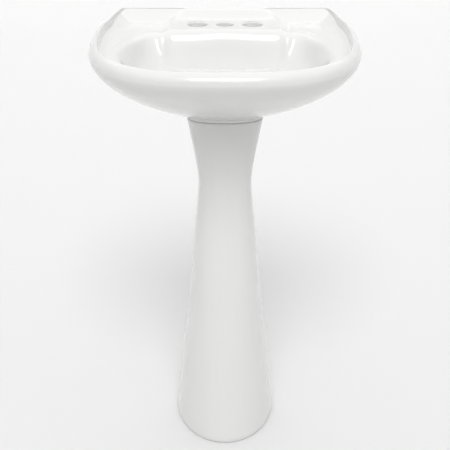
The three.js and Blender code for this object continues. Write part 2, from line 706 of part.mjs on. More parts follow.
// Tapered washer that sits on a socket mouth, under the lip of the slip nut.
function slipWasher(name, y, z) {
  return place(name, turned([
    [PIPE_RADIUS + 0.2, 0],
    [SOCKET_RADIUS - 0.1, 0],
    [SOCKET_RADIUS - 0.1, 1.6],
    [PIPE_RADIUS + 0.9, 4.2],
    [PIPE_RADIUS + 0.2, 4.2],
  ], 24), whitePlastic(), 0, y, z);
}

function trapBend() {
  const pipe = [PIPE_RADIUS + 0.4, PIPE_BORE];
  const up = Math.PI / 2;
  const socketBore = PIPE_RADIUS + 0.3;
  return place('trap_bend', bentPipe([
    [DRAIN_Y, TRAP_INLET_Z - 4, -up, SOCKET_RADIUS, socketBore + 1.2],
    [DRAIN_Y, TRAP_INLET_Z - 7, -up, SOCKET_RADIUS, socketBore],
    [DRAIN_Y, TRAP_INLET_Z - 30, -up, SOCKET_RADIUS, socketBore],
    [DRAIN_Y, TRAP_INLET_Z - 33, -up, ...pipe],
    ...bendStations(DRAIN_Y + TRAP_BEND_RADIUS, TRAP_BEND_Z, TRAP_BEND_RADIUS, -up, up, ...pipe, 10),
    [TRAP_Y, UNION_Z - 33, up, ...pipe],
    [TRAP_Y, UNION_Z - 30, up, SOCKET_RADIUS, socketBore],
    [TRAP_Y, UNION_Z - 7, up, SOCKET_RADIUS, socketBore],
    [TRAP_Y, UNION_Z - 4, up, SOCKET_RADIUS, socketBore + 1.2],
  ]), chrome());
}

function trapArm() {
  const pipe = [PIPE_RADIUS, PIPE_BORE];
  const up = Math.PI / 2;
  const bend = TRAP_BEND_RADIUS;
  return place('trap_arm', bentPipe([
    [TRAP_Y, UNION_Z - 26, up, ...pipe],
    ...bendStations(TRAP_Y + bend, TRAP_ARM_Z - bend, bend, up, 0, ...pipe, 8),
    [WALL_Y - 0.2, TRAP_ARM_Z, 0, ...pipe],
  ]), chrome());
}

function wallFlange() {
  const plate = turned([
    [PIPE_RADIUS + GAP, -0.4],
    [PIPE_RADIUS + 20, -0.4],
    [PIPE_RADIUS + 20, -1.4],
    [PIPE_RADIUS + 12, -4],
    [PIPE_RADIUS + 5, -8],
    [PIPE_RADIUS + 2, -11],
    [PIPE_RADIUS + GAP, -11],
  ].reverse(), 30).rotateX(-Math.PI / 2);
  return place('wall_flange', plate, chrome(), 0, WALL_Y, TRAP_ARM_Z);
}

// ---------------------------------------------------------------- fixings
function hangerFixing(name, side) {
  const x = side * HANGER_SPREAD / 2;
  const inner = -CHINA_WALL - 0.4;
  const onWall = (part, geometry) => place(
    `hanger_${part}_${name}`, geometry.rotateX(-Math.PI / 2), zincSteel(), x, WALL_Y, HANGER_Z,
  );
  return [
    onWall('stud', rod(4.8, -40, -0.2, 16)),
    onWall('washer', ring(13, 5.1, inner - 2, inner, 20)),
    onWall('nut', hexNut(17, 5.1, 8).translate(0, 0, inner - 10.3)),
  ];
}

function floorScrew(name, side) {
  const x = side * FLOOR_SCREW_X;
  const shank = rod(3.6, 0.2, WEB_HEIGHT + 4, 14);
  const head = new THREE.CylinderGeometry(7.5, 7.5, 5, 6)
    .rotateX(Math.PI / 2)
    .translate(0, 0, WEB_HEIGHT + 5.1);
  const screw = geometryOf(solidOf(shank).add(solidOf(head)));
  const washer = ring(11, 4, WEB_HEIGHT + GAP, WEB_HEIGHT + 2.2, 20);
  return [
    place(`floor_screw_${name}`, screw, zincSteel(), x, FLOOR_SCREW_Y),
    place(`floor_washer_${name}`, washer, zincSteel(), x, FLOOR_SCREW_Y),
  ];
}

// ---------------------------------------------------------------- assembly
function groupOf(name, ...pieces) {
  const group = new THREE.Group();
  group.name = name;
  group.add(...pieces.flat(Infinity));
  return group;
}

const pedestalSink = groupOf(
  'pedestal_sink',
  groupOf('china', basin(), pedestal()),
  groupOf(
    'drain',
    drainBody(),
    flangeGasket(),
    lowerGasket(),
    frictionWasher(),
    drainLocknut(),
    stopperCartridge(),
  ),
  groupOf('stopper', stopperCap(), stopperSeal(), stopperPlunger(), stopperSpring()),
  groupOf(
    'trap',
    tailpiece(),
    slipWasher('tailpiece_washer', DRAIN_Y, TRAP_INLET_Z - 3.7),
    slipNut('tailpiece_nut', DRAIN_Y, TRAP_INLET_Z - 10),
    trapBend(),
    slipWasher('union_washer', TRAP_Y, UNION_Z - 3.7),
    slipNut('union_nut', TRAP_Y, UNION_Z - 10),
    trapArm(),
    wallFlange(),
  ),
  groupOf('fixings', ['left', 'right'].map((name, i) => {
    const side = 2 * i - 1;
    return [...hangerFixing(name, side), ...floorScrew(name, side)];
  })),
);

export default pedestalSink;
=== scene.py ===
"""Pedestal sink in white glazed china: the fine surfaces, materials, light and camera.

Shapes are worked out in millimetres in the model's own frame and turned into metres
when their meshes are made. The drain, trap and fixings use the model's own boxes.
"""
import json
import math

import bpy
import numpy as np
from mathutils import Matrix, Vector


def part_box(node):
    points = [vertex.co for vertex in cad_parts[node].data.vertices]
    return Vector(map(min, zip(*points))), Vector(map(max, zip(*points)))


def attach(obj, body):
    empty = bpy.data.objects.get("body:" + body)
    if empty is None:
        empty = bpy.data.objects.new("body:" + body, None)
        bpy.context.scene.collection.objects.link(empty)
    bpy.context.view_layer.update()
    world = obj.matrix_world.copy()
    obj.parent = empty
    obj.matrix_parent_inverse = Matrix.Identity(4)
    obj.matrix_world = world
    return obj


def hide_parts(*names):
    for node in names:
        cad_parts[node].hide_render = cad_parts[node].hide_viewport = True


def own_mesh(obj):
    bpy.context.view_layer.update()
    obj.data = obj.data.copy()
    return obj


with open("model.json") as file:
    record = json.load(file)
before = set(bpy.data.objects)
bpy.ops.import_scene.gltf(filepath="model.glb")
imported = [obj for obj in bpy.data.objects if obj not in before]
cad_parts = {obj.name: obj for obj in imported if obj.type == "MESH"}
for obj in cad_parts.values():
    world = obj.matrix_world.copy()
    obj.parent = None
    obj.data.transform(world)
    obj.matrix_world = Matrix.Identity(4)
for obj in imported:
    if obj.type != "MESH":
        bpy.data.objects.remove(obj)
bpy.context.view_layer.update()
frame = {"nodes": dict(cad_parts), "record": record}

# ------------------------------------------------------------------ sizes from the frame
MM = 0.001


def box_mm(node):
    """Lowest and highest corner of a model node, in millimetres."""
    return np.array(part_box(node)) / MM


BASIN_LOW, BASIN_HIGH = box_mm("basin")
HALF_WIDTH = BASIN_HIGH[0]
WALL_Y = BASIN_HIGH[1]
RIM_HEIGHT = BASIN_HIGH[2]
BOSS_Z = BASIN_LOW[2]
PEDESTAL_REAR_Y, PEDESTAL_HEIGHT = box_mm("pedestal")[1][1:]
SEAT_Z = PEDESTAL_HEIGHT + 0.3
CHINA_WALL = 11.0
DECK_Z = RIM_HEIGHT - 15
BOWL_FLOOR_Z = BOSS_Z + CHINA_WALL + 2
BOWL_DEPTH = DECK_Z - BOWL_FLOOR_Z
CREASE_Z = RIM_HEIGHT - 87
RIM_ROLL = 18.0
BACK_ROLL = 4.0
LEDGE_DEPTH = 31.0
DRAIN_Y = box_mm("drain_body").mean(axis=0)[1]
DRAIN_HOLE_RADIUS = 22.25
BOSS_RADIUS = 34.0
FAUCET_SPREAD = 101.6
FAUCET_Y = WALL_Y - 66
HANGER = box_mm("hanger_washer_right").mean(axis=0)
FAUCET_HOLE_RADII = (17.7, 15.2, 17.7)
HANGER_HOLE_RADIUS = 7.0
FLOOR_SCREW_X = 45.0
FLOOR_SCREW_Y = 78.0
COLLAR_HALF_WIDTH = 68.0
FOOT_FRONT_Y = -46.0
TOP_FRONT_Y = -45.0
TOP_WIDEST_Y = -3.0


# ------------------------------------------------------------------ shaping helpers
def soft_min(a, b, blend):
    """The smaller value, rounded off only where the two are closer than blend."""
    near = np.maximum(blend - np.abs(a - b), 0) / blend
    return np.minimum(a, b) - near * near * blend / 4


def soft_max(a, b, blend):
    return -soft_min(-a, -b, blend)


def lerp(a, b, part):
    return a + (b - a) * part


def smooth_step(value, low, high):
    part = np.clip((value - low) / (high - low), 0, 1)
    return part * part * (3 - 2 * part)


def curve_through(points):
    """Smooth curve through (x, y) pairs listed in order of x: a cubic on each span."""
    xs, ys = np.array(points, float).T
    before = np.maximum(np.arange(len(xs)) - 1, 0)
    after = np.minimum(np.arange(len(xs)) + 1, len(xs) - 1)
    slopes = (ys[after] - ys[before]) / (xs[after] - xs[before])

    def curve(x):
        i = np.clip(np.searchsorted(xs, x) - 1, 0, len(xs) - 2)
        span = xs[i + 1] - xs[i]
        t = np.clip((x - xs[i]) / span, 0, 1)
        rise = ys[i + 1] - ys[i]
        bend0 = slopes[i] * span - rise
        bend1 = rise - slopes[i + 1] * span
        return ys[i] + rise * t + t * (1 - t) * (bend0 * (1 - t) + bend1 * t)

    return curve


def make_piece(name, points, faces, body, material, smooth_angle=40):
    """Mesh object from points in millimetres, shaded smooth below an angle."""
    mesh = bpy.data.meshes.new(name)
    mesh.from_pydata((np.asarray(points) * MM).tolist(), [], [list(face) for face in faces])
    mesh.polygons.foreach_set("use_smooth", [True] * len(mesh.polygons))
    mesh.set_sharp_from_angle(angle=math.radians(smooth_angle))
    piece = bpy.data.objects.new(name, mesh)
    bpy.context.scene.collection.objects.link(piece)
    piece.data.materials.append(material)
    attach(piece, body)
    return piece


def grid_faces(rows, columns, wrap_rows):
    """Quads of a grid that wraps round its columns, and round its rows if asked."""
    i, j = np.meshgrid(np.arange(rows if wrap_rows else rows - 1), np.arange(columns), indexing="ij")
    next_i = (i + 1) % rows
    next_j = (j + 1) % columns
    corners = [i * columns + j, next_i * columns + j, next_i * columns + next_j, i * columns + next_j]
    return np.stack(corners, axis=-1).reshape(-1, 4)


def tool_object(points, faces):
    mesh = bpy.data.meshes.new("tool")
    mesh.from_pydata((np.asarray(points) * MM).tolist(), [], [list(face) for face in faces])
    tool = bpy.data.objects.new("tool", mesh)
    bpy.context.scene.collection.objects.link(tool)
    return tool


def combine(piece, tools, operation):
    """Joins or cuts closed tool meshes, then throws the tools away."""
    for tool in tools:
        modifier = piece.modifiers.new("combine", "BOOLEAN")
        modifier.operation = operation
        modifier.solver = "MANIFOLD"
        modifier.object = tool
    graph = bpy.context.evaluated_depsgraph_get()
    result = bpy.data.meshes.new_from_object(piece.evaluated_get(graph))
    piece.modifiers.clear()
    old = piece.data
    piece.data = result
    bpy.data.meshes.remove(old)
    for tool in tools:
        bpy.data.meshes.remove(tool.data)


def block(low, high):
    """Closed box tool between two corners in millimetres."""
    corners = [(x, y, z) for z in (low[2], high[2]) for y in (low[1], high[1]) for x in (low[0], high[0])]
    faces = [(0, 2, 3, 1), (4, 5, 7, 6), (0, 1, 5, 4), (2, 6, 7, 3), (0, 4, 6, 2), (1, 3, 7, 5)]
    return tool_object(corners, faces)


def turned(outline, centre, axis="Z", segments=96):
    """Points and quads of a ring turned from a closed (radius, height) outline."""
    outline = np.array(outline, float)
    angle = np.arange(segments) / segments * 2 * math.pi
    radius, height = outline[:, :1], outline[:, 1:]
    across = radius * np.cos(angle)
    up = radius * np.sin(angle)
    along = height + 0 * angle
    stack = {"Z": (across, up, along), "Y": (across, along, -up)}[axis]
    points = np.stack(stack, axis=-1).reshape(-1, 3) + np.array(centre, float)
    return points, grid_faces(len(outline), segments, True)[:, ::-1]


def tool_from(outline, centre, axis="Z"):
    """Cutting tool: a solid of revolution whose outline starts and ends near the axis."""
    return tool_object(*turned(outline, centre, axis, 64))


# ------------------------------------------------------------------ plan curves of the basin
def bearing(x, y):
    """Direction from the drain: 0 is the front, pi is the back, the same both sides."""
    return np.arctan2(np.abs(x), DRAIN_Y - y)


def plan_curve(fractions):
    """Radius by bearing, from points in parts of the half width and the half depth."""
    x, y = np.array(fractions).T * np.array([[HALF_WIDTH], [WALL_Y]])
    half = list(zip(bearing(x, y), np.hypot(x, y - DRAIN_Y)))
    return curve_through([(-half[1][0], half[1][1])] + half)


rim_outline = plan_curve([
    (0, -1), (0.25, -0.99), (0.5, -0.933), (0.7, -0.815), (0.84, -0.651), (0.93, -0.454), (0.98, -0.228),
    (0.998, 0), (1, 0.18), (0.991, 0.398), (0.967, 0.56), (0.925, 0.711), (0.873, 0.874), (0.812, 1.09),
])
crease_outline = plan_curve([
    (0, -0.6), (0.5, -0.4), (0.735, 0.009), (0.745, 0.35), (0.7, 0.8), (0.66, 1.09),
])
opening_outline = plan_curve([
    (0, -0.73), (0.257, -0.716), (0.441, -0.672), (0.6, -0.584), (0.711, -0.459), (0.771, -0.304),
    (0.785, -0.095), (0.757, 0.09), (0.664, 0.37), (0.488, 0.62), (0.293, 0.7),
])


def inset_from(curve, x, y):
    """Distance in from a plan curve, measured square to it."""
    angle = bearing(x, y)
    radius = curve(angle)
    lean = (curve(angle + 0.01) - curve(angle - 0.01)) / 0.02 / radius
    return (radius - np.hypot(x, y - DRAIN_Y)) / np.hypot(1, lean)


def plan_power(height):
    """Roundness of the pedestal's plan: an ellipse at the foot, a fuller curve at the top."""
    return lerp(2.05, 2.4, height / PEDESTAL_HEIGHT)


def back_line(angle, y):
    """Radius at which a bearing meets a straight line across the back."""
    return (y - DRAIN_Y) / np.maximum(-np.cos(angle), 0.002)


def collar_radius(angle, inset):
    """Radius of the pedestal-shaped collar under the basin, found by halving."""
    half = COLLAR_HALF_WIDTH - inset
    reach = TOP_WIDEST_Y - TOP_FRONT_Y - inset
    power = plan_power(PEDESTAL_HEIGHT)
    low, high = 0 * angle, 3 * half + 0 * angle
    for _ in range(40):
        middle = (low + high) / 2
        across = middle * np.abs(np.sin(angle)) / half
        ahead = np.maximum(TOP_WIDEST_Y - DRAIN_Y + middle * np.cos(angle), 0) / reach
        within = across ** power + ahead ** power < 1
        low, high = np.where(within, middle, low), np.where(within, high, middle)
    return soft_min(low, back_line(angle, 98 - inset), 8)


# ------------------------------------------------------------------ basin
def bowl_rear_edge(x):
    """Straight below the faucets, a forward tip each side of them, and a lobe beyond."""
    across = np.abs(x)
    tip = 4 * np.exp(-((across - 112) / 9) ** 2)
    lobe = 6 * np.exp(-((across - 139) / 17) ** 2)
    return WALL_Y - 118 - tip + lobe


def inside_bowl(x, y):
    return soft_min(inset_from(opening_outline, x, y), bowl_rear_edge(x) - y, 24)


def deck_height(x, y):
    """The rim falls gently inwards, the ledge runs down to the deck, the dishes sink."""
    inset = inset_from(rim_outline, x, y)
    rim = RIM_HEIGHT - 0.16 * soft_max(inset - 20, 0, 12)
    ledge = RIM_HEIGHT - 0.42 * soft_max(WALL_Y - 6 - y, 0, 8)
    deck = soft_max(soft_max(rim, ledge, 5), DECK_Z, 5)
    sides = soft_max(113 - np.abs(x), y - (WALL_Y - LEDGE_DEPTH - 8), 8)
    ends = soft_max(9 + inside_bowl(x, y), 30 - inset, 8)
    dish = DECK_Z - 4.5 + 0.5 * soft_max(soft_max(sides, ends, 8), 0, 8)
    return soft_min(deck, dish, 4)


def basin_top(x, y):
    """Rim and deck less the drop of the bowl, which steepens from the floor to the edge.

    The tips and lobes shape only the edge: further in, the bowl follows a plainer curve.
    """
    middle = 1 - smooth_step(np.abs(x), 40, 130)
    edge = soft_max(inside_bowl(x, y) - 4 * middle, 0, 12 + 12 * middle)
    plain = soft_min(inset_from(opening_outline, x, y) + 12, WALL_Y - 100 - y, 72)
    inside = lerp(edge, soft_max(plain, 0, 12), smooth_step(edge, 0, 28))
    from_floor = np.maximum(np.hypot(x, y - DRAIN_Y) - BOSS_RADIUS, 0)
    down = inside / (inside + from_floor + 1e-6)
    return deck_height(x, y) - BOWL_DEPTH * (1 - (1 - down) ** 1.9)


def basin_underside(x, y):
    """Lowest reach of a ball of one wall thickness that rolls over the top surface."""
    lowest = basin_top(x, y) - CHINA_WALL
    for reach, rise in ((0.6, 0.8), (0.98, 0.2)):
        for turn in np.arange(8) * math.pi / 4:
            side_x = x + reach * CHINA_WALL * math.cos(turn)
            side_y = y + reach * CHINA_WALL * math.sin(turn)
            lowest = np.minimum(lowest, basin_top(side_x, side_y) - rise * CHINA_WALL)
    return lowest


CAVITY_BEARING = 1.722


def basin_points():
    """Grid of the basin: one row per station from the drain over the rim and back under."""
    right = np.concatenate([
        np.linspace(0, CAVITY_BEARING - 0.002, 90),
        np.linspace(CAVITY_BEARING + 0.002, 2.5, 62),
        np.linspace(2.5, math.pi, 48)[1:],
    ])
    turn = np.concatenate([right, 2 * math.pi - right[-2:0:-1]])
    fold = np.where(turn > math.pi, 2 * math.pi - turn, turn)
    rim = soft_min(rim_outline(fold), back_line(fold, WALL_Y), 14)
    crease = soft_min(crease_outline(fold), back_line(fold, WALL_Y), 14)
    roll = lerp(RIM_ROLL, BACK_ROLL, smooth_step(fold, 2.0, 2.3))
    crest = rim - roll
    open_behind = fold > CAVITY_BEARING
    wide = soft_min(crease_outline(fold) - CHINA_WALL, back_line(fold, WALL_Y - CHINA_WALL), 14)
    collar = collar_radius(fold, 0)
    inner = np.where(open_behind, wide, collar_radius(fold, CHINA_WALL + 3))

    def at(radius, height):
        x = radius * np.sin(fold)
        y = DRAIN_Y - radius * np.cos(fold)
        return radius, height(x, y)

    def level(radius, z):
        return radius + 0 * fold, z + 0 * fold

    rows = [level(DRAIN_HOLE_RADIUS, BOWL_FLOOR_Z)]
    rows += [at(lerp(BOSS_RADIUS, crest, part), basin_top) for part in np.linspace(0, 1, 116)]
    for turn_over in np.radians(np.linspace(0, 90, 10)[1:]):
        fall = roll * (1 - math.cos(turn_over))
        rows.append(level(crest + roll * math.sin(turn_over), RIM_HEIGHT - fall))
    apron_top = RIM_HEIGHT - roll
    apron_end = SEAT_Z + 6.5
    to_side = smooth_step(fold, 0, math.pi / 2)
    to_back = smooth_step(fold, 1.4, 1.72)
    skirt = [
        (lerp(rim, crease, part ** 1.7), lerp(apron_top, CREASE_Z, part))
        for part in np.linspace(0, 1, 26)[1:]
    ]
    for part in np.linspace(0, 1, 17)[1:]:
        radius = np.where(open_behind, lerp(crease, wide, part), lerp(crease, collar, part))
        closed = lerp(CREASE_Z, apron_end, 1 - (1 - part) ** 1.85)
        lip = CREASE_Z - 2 * math.sin(math.pi * part)
        skirt.append((radius, np.where(open_behind, lip, closed)))
    for (back_radius, back_z), turn_in in zip(skirt, np.linspace(0, math.pi / 2, len(skirt) + 1)[1:]):
        out = max(math.cos(turn_in), 0) ** (2 / lerp(1, 1.1, to_side))
        down = math.sin(turn_in) ** (2 / lerp(1.53, 1.74, to_side))
        front_radius = lerp(collar, rim, out)
        front_z = lerp(apron_top, apron_end, down)
        rows.append((lerp(front_radius, back_radius, to_back), lerp(front_z, back_z, to_back)))
    roof = basin_underside(inner * np.sin(fold), DRAIN_Y - inner * np.cos(fold))
    seat = ((0, 5), (0, 3.4), (0.3, 1.5), (0.8, 0.7), (1.5, 0.2), (2.4, 0), (12.5, 0), (13.6, 0.6), (14, 2))
    for step, (inset, lift) in enumerate(seat):
        radius = np.where(open_behind, wide, collar - inset)
        rising = lerp(CREASE_Z, roof, (step + 1) / (len(seat) + 1))
        rows.append(level(radius, np.where(open_behind, rising, SEAT_Z + lift)))
    for part in np.linspace(0, 1, 34):
        radius, z = at(lerp(inner, BOSS_RADIUS, part), basin_underside)
        rows.append((radius, np.maximum(z, BOSS_Z + 2)))
    rows += [level(BOSS_RADIUS, BOSS_Z + 0.8), level(BOSS_RADIUS - 0.8, BOSS_Z)]
    rows.append(level(DRAIN_HOLE_RADIUS, BOSS_Z))
    radius, z = np.array(rows).transpose(1, 0, 2)
    points = np.stack([radius * np.sin(turn), DRAIN_Y - radius * np.cos(turn), z], axis=-1)
    return points


def basin(material):
    points = basin_points()
    rows, columns = points.shape[:2]
    faces = grid_faces(rows, columns, True)
    piece = make_piece("basin_glazed", points.reshape(-1, 3), faces, "sink", material)
    tools = []
    for side, radius in zip((-1, 0, 1), FAUCET_HOLE_RADII):
        angles = np.radians(np.arange(80, 5, -12.5))
        flare = [(radius + 3 - 3 * math.sin(a), -3 + 3 * math.cos(a)) for a in angles]
        outline = [(0.01, -45), (radius, -45), (radius, -3.2)] + flare
        outline += [(radius + 3.4, 12), (0.01, 12)]
        tools.append(tool_from(outline, (side * FAUCET_SPREAD / 2, FAUCET_Y, DECK_Z)))
    for side in (-1, 1):
        hole = [(0.01, -45), (HANGER_HOLE_RADIUS, -45), (HANGER_HOLE_RADIUS, 5), (0.01, 5)]
        notch = [(0.01, -9), (2.4, -9), (2.8, 5), (0.01, 5)]
        tools.append(tool_from(hole, (side * HANGER[0], WALL_Y, HANGER[2]), "Y"))
        tools.append(tool_from(notch, (side * HANGER[0], WALL_Y, RIM_HEIGHT)))
    combine(piece, tools, "DIFFERENCE")
    piece.data.set_sharp_from_angle(angle=math.radians(40))
    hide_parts("basin")


# ------------------------------------------------------------------ pedestal
pedestal_half_width = curve_through([
    (0, 103.2), (0.21 * PEDESTAL_HEIGHT, 88.5), (0.45 * PEDESTAL_HEIGHT, 70.7),
    (0.66 * PEDESTAL_HEIGHT, 57.2), (0.76 * PEDESTAL_HEIGHT, 50.7), (0.816 * PEDESTAL_HEIGHT, 49),
    (0.87 * PEDESTAL_HEIGHT, 52.8), (PEDESTAL_HEIGHT, COLLAR_HALF_WIDTH),
])
pedestal_front = curve_through([
    (0, FOOT_FRONT_Y), (0.45 * PEDESTAL_HEIGHT, FOOT_FRONT_Y + 9),
    (0.816 * PEDESTAL_HEIGHT, TOP_FRONT_Y + 21), (PEDESTAL_HEIGHT, TOP_FRONT_Y),
])
pedestal_widest = curve_through([
    (0, PEDESTAL_REAR_Y - 1), (0.45 * PEDESTAL_HEIGHT, TOP_WIDEST_Y + 57),
    (0.816 * PEDESTAL_HEIGHT, TOP_WIDEST_Y + 17), (PEDESTAL_HEIGHT, TOP_WIDEST_Y),
])
FLANK_POINTS = 25
FRONT_POINTS = 121
WALL_CORNER = ((0.6, 0.6), (2, 0), (CHINA_WALL - 2, 0), (CHINA_WALL - 0.6, 0.6))


def pedestal_section(height, inset):
    """Plan of the wall from the left rear edge round the front to the right rear edge."""
    half = pedestal_half_width(height) - inset
    widest = pedestal_widest(height)
    reach = widest - pedestal_front(height) - inset
    flank_y = np.linspace(PEDESTAL_REAR_Y - 2, widest, FLANK_POINTS + 1)[:-1]
    angle = np.linspace(-0.5, 0.5, FRONT_POINTS) * math.pi
    power = plan_power(height)
    across = np.sign(angle) * np.abs(np.sin(angle)) ** (2 / power)
    ahead = np.maximum(np.cos(angle), 0) ** (2 / power)
    x = np.concatenate([np.full(FLANK_POINTS, -half), half * across, np.full(FLANK_POINTS, half)])
    y = np.concatenate([flank_y, widest - reach * ahead, flank_y[::-1]])
    return np.stack([x, y, np.full(len(x), height)], axis=-1)


def pedestal_loop(height, rounding):
    """The wall's outline at one height: outside, right rear edge, inside, left rear edge."""
    half = pedestal_half_width(height)
    right = np.array([
        (half - np.clip(inset, rounding, CHINA_WALL - rounding), PEDESTAL_REAR_Y - rear, height)
        for inset, rear in WALL_CORNER
    ])
    outside = pedestal_section(height, rounding)
    inside = pedestal_section(height, CHINA_WALL - rounding)
    return np.concatenate([outside, right, inside[::-1], right[::-1] * (-1, 1, 1)])


def pedestal(material):
    """The open-backed shell, with a web across the back of its foot for the floor screws."""
    foot = [(0, 4.5), (0.8, 2.9), (2.4, 1.7), (5, 0.9), (9, 0.3), (14, 0)]
    crown = [(3, 0), (1.6, 0.25), (0.6, 0.9), (0, 2)]
    shaft = [(z, 0) for z in np.linspace(14, PEDESTAL_HEIGHT - 3, 118)[1:-1]]
    levels = foot + shaft + [(PEDESTAL_HEIGHT - down, rounding) for down, rounding in crown]
    points = np.array([pedestal_loop(*level) for level in levels])
    rows, count = points.shape[:2]
    around = 2 * FLANK_POINTS + FRONT_POINTS
    edge = len(WALL_CORNER)
    faces = grid_faces(rows, count, False)[:, ::-1].tolist()
    last_inside = count - edge - 1
    lid = [[j, j + 1, last_inside - j - 1, last_inside - j] for j in range(around - 1)]
    lid.append(list(range(around - 1, around + edge + 1)))
    lid.append([0, last_inside] + list(range(count - edge, count)))
    base = (rows - 1) * count
    faces += [face[::-1] for face in lid] + [[corner + base for corner in face] for face in lid]
    piece = make_piece("pedestal_glazed", points.reshape(-1, 3), faces, "sink", material)
    web_low = (4 - pedestal_half_width(0) + CHINA_WALL - 6, 56, 0)
    web_high = (-web_low[0], 100, 12)
    combine(piece, [block(web_low, web_high)], "UNION")
    combine(piece, [
        tool_from([(0.01, -5), (5, -5), (5, 20), (0.01, 20)], (side * FLOOR_SCREW_X, FLOOR_SCREW_Y, 0))
        for side in (-1, 1)
    ], "DIFFERENCE")
    piece.data.set_sharp_from_angle(angle=math.radians(40))
    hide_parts("pedestal")


# ------------------------------------------------------------------ drain, trap and fixings
def rounded(outline, radius, steps=4):
    """Closed outline with every corner eased by a short curve."""
    corners = np.array(outline, float)
    points = []
    for before, corner, after in zip(np.roll(corners, 1, 0), corners, np.roll(corners, -1, 0)):
        ease_in = min(radius, 0.45 * np.linalg.norm(before - corner)) / np.linalg.norm(before - corner)
        ease_out = min(radius, 0.45 * np.linalg.norm(after - corner)) / np.linalg.norm(after - corner)
        start = lerp(corner, before, ease_in)
        end = lerp(corner, after, ease_out)
        for t in np.linspace(0, 1, steps + 1):
            points.append(lerp(lerp(start, corner, t), lerp(corner, end, t), t))
    return points


def densified(outline, step):
    """Closed outline with extra points so that no edge is longer than step."""
    corners = np.array(outline, float)
    points = []
    for start, end in zip(corners, np.roll(corners, -1, 0)):
        count = max(1, math.ceil(np.linalg.norm(end - start) / step))
        points += [lerp(start, end, i / count) for i in range(count)]
    return points


def hexagon(across_flats, chamfer_from, chamfer_height):
    """Widens a turned outline into a hexagon whose ends are cut back to a cone."""
    def reshape(radius, height, angle):
        sixth = np.mod(angle, math.pi / 3) - math.pi / 6
        flat = across_flats / 2 / np.cos(sixth)
        ends = np.minimum(np.abs(height - chamfer_from[0]), np.abs(chamfer_from[1] - height))
        cone = across_flats / 2 + 1.7 * np.minimum(ends, chamfer_height)
        return np.where(radius > across_flats / 2 - 0.01, np.minimum(flat, cone), radius)
    return reshape


def threaded(low, high, pitch, nominal, depth):
    """Cuts a thread of the given pitch into a turned outline between two heights."""
    def reshape(radius, height, angle):
        phase = np.mod((height - angle / (2 * math.pi) * pitch) / pitch, 1)
        groove = depth * np.abs(2 * phase - 1)
        on_thread = (np.abs(radius - nominal) < 0.02) & (height > low) & (height < high)
        return np.where(on_thread, radius - groove, radius)
    return reshape


def lathe(node, outline, centre, axis="Z", body="sink", segments=96, reshape=None):
    """Replaces one model node by a finely turned piece; an outline may start on the axis."""
    outline = np.array(outline, float)
    solid = outline[0][0] < 0.001
    angle = np.arange(segments) / segments * 2 * math.pi
    radius = outline[:, :1] + 0 * angle
    height = outline[:, 1:] + 0 * angle
    if reshape:
        radius = reshape(radius, height, angle + 0 * radius)
    if solid:
        rims = slice(1, len(outline) - 1)
        faces = grid_faces(len(outline) - 2, segments, False)
        radius, height = radius[rims], height[rims]
    else:
        faces = grid_faces(len(outline), segments, True)
    x, y = radius * np.cos(angle), radius * np.sin(angle)
    points = {"Z": (x, y, height), "Y": (x, height, -y)}[axis]
    points = np.stack(points, axis=-1).reshape(-1, 3)
    faces = faces[:, ::-1].tolist()
    if solid:
        ends = {"Z": [(0, 0, outline[0][1]), (0, 0, outline[-1][1])],
                "Y": [(0, outline[0][1], 0), (0, outline[-1][1], 0)]}[axis]
        first, last = len(points), len(points) + 1
        base = first - segments
        points = np.concatenate([points, ends])
        for j in range(segments):
            k = (j + 1) % segments
            faces.append([first, k, j])
            faces.append([last, base + j, base + k])
    slot = slots[node]
    piece = make_piece(node + "_fine", points + np.array(centre, float), faces, body, finishes[slot], 32)
    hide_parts(node)
    return piece


def ring_outline(outer, inner, bottom, top, edge=0.5):
    return rounded([(inner, bottom), (outer, bottom), (outer, top), (inner, top)], edge)


def size_of(node):
    """Outer radius, bottom and top of a turned node that stands upright."""
    low, high = box_mm(node)
    return (high[0] - low[0]) / 2, low[2], high[2]


DRAIN = (0, DRAIN_Y, 0)
DRAIN_BORE = 16.5
DRAIN_TUBE = 19.0


def drain():
    """Flanged drain body with its gaskets, washer and locknut."""
    flange, bottom, top = size_of("drain_body")
    thread_low, thread_high = bottom + 3, BOSS_Z - 1
    outline = [
        (DRAIN_BORE, bottom), (DRAIN_TUBE - 0.8, bottom), (DRAIN_TUBE, bottom + 1.2),
        (DRAIN_TUBE, top - 2.6), (flange, top - 2.6), (flange - 0.6, top - 1.6), (flange - 5, top - 0.5),
        (DRAIN_BORE + 5, top), (DRAIN_BORE + 1.5, top - 0.5), (DRAIN_BORE, top - 3),
    ]
    thread = threaded(thread_low, thread_high, 1.8, DRAIN_TUBE, 0.7)
    lathe("drain_body", densified(rounded(outline, 0.6), 0.45), DRAIN, reshape=thread, segments=120)
    flat, low, high = size_of("flange_gasket")
    lathe("flange_gasket", ring_outline(flat, DRAIN_HOLE_RADIUS + 1, low, high, 0.4), DRAIN)
    outer, low, high = size_of("lower_gasket")
    bore = DRAIN_TUBE + 0.3
    cone = [(bore, low), (outer, low), (outer, low + 4), (outer - 3, high), (bore, high)]
    lathe("lower_gasket", rounded(cone, 0.7), DRAIN)
    outer, low, high = size_of("friction_washer")
    lathe("friction_washer", ring_outline(outer, bore, low, high, 0.35), DRAIN)
    _, low, high = size_of("drain_locknut")
    nut = densified(rounded([(bore, low), (26, low), (26, high), (bore, high)], 0.5), 0.8)
    lathe("drain_locknut", nut, DRAIN, segments=144, reshape=hexagon(52, (low, high), 2.2))


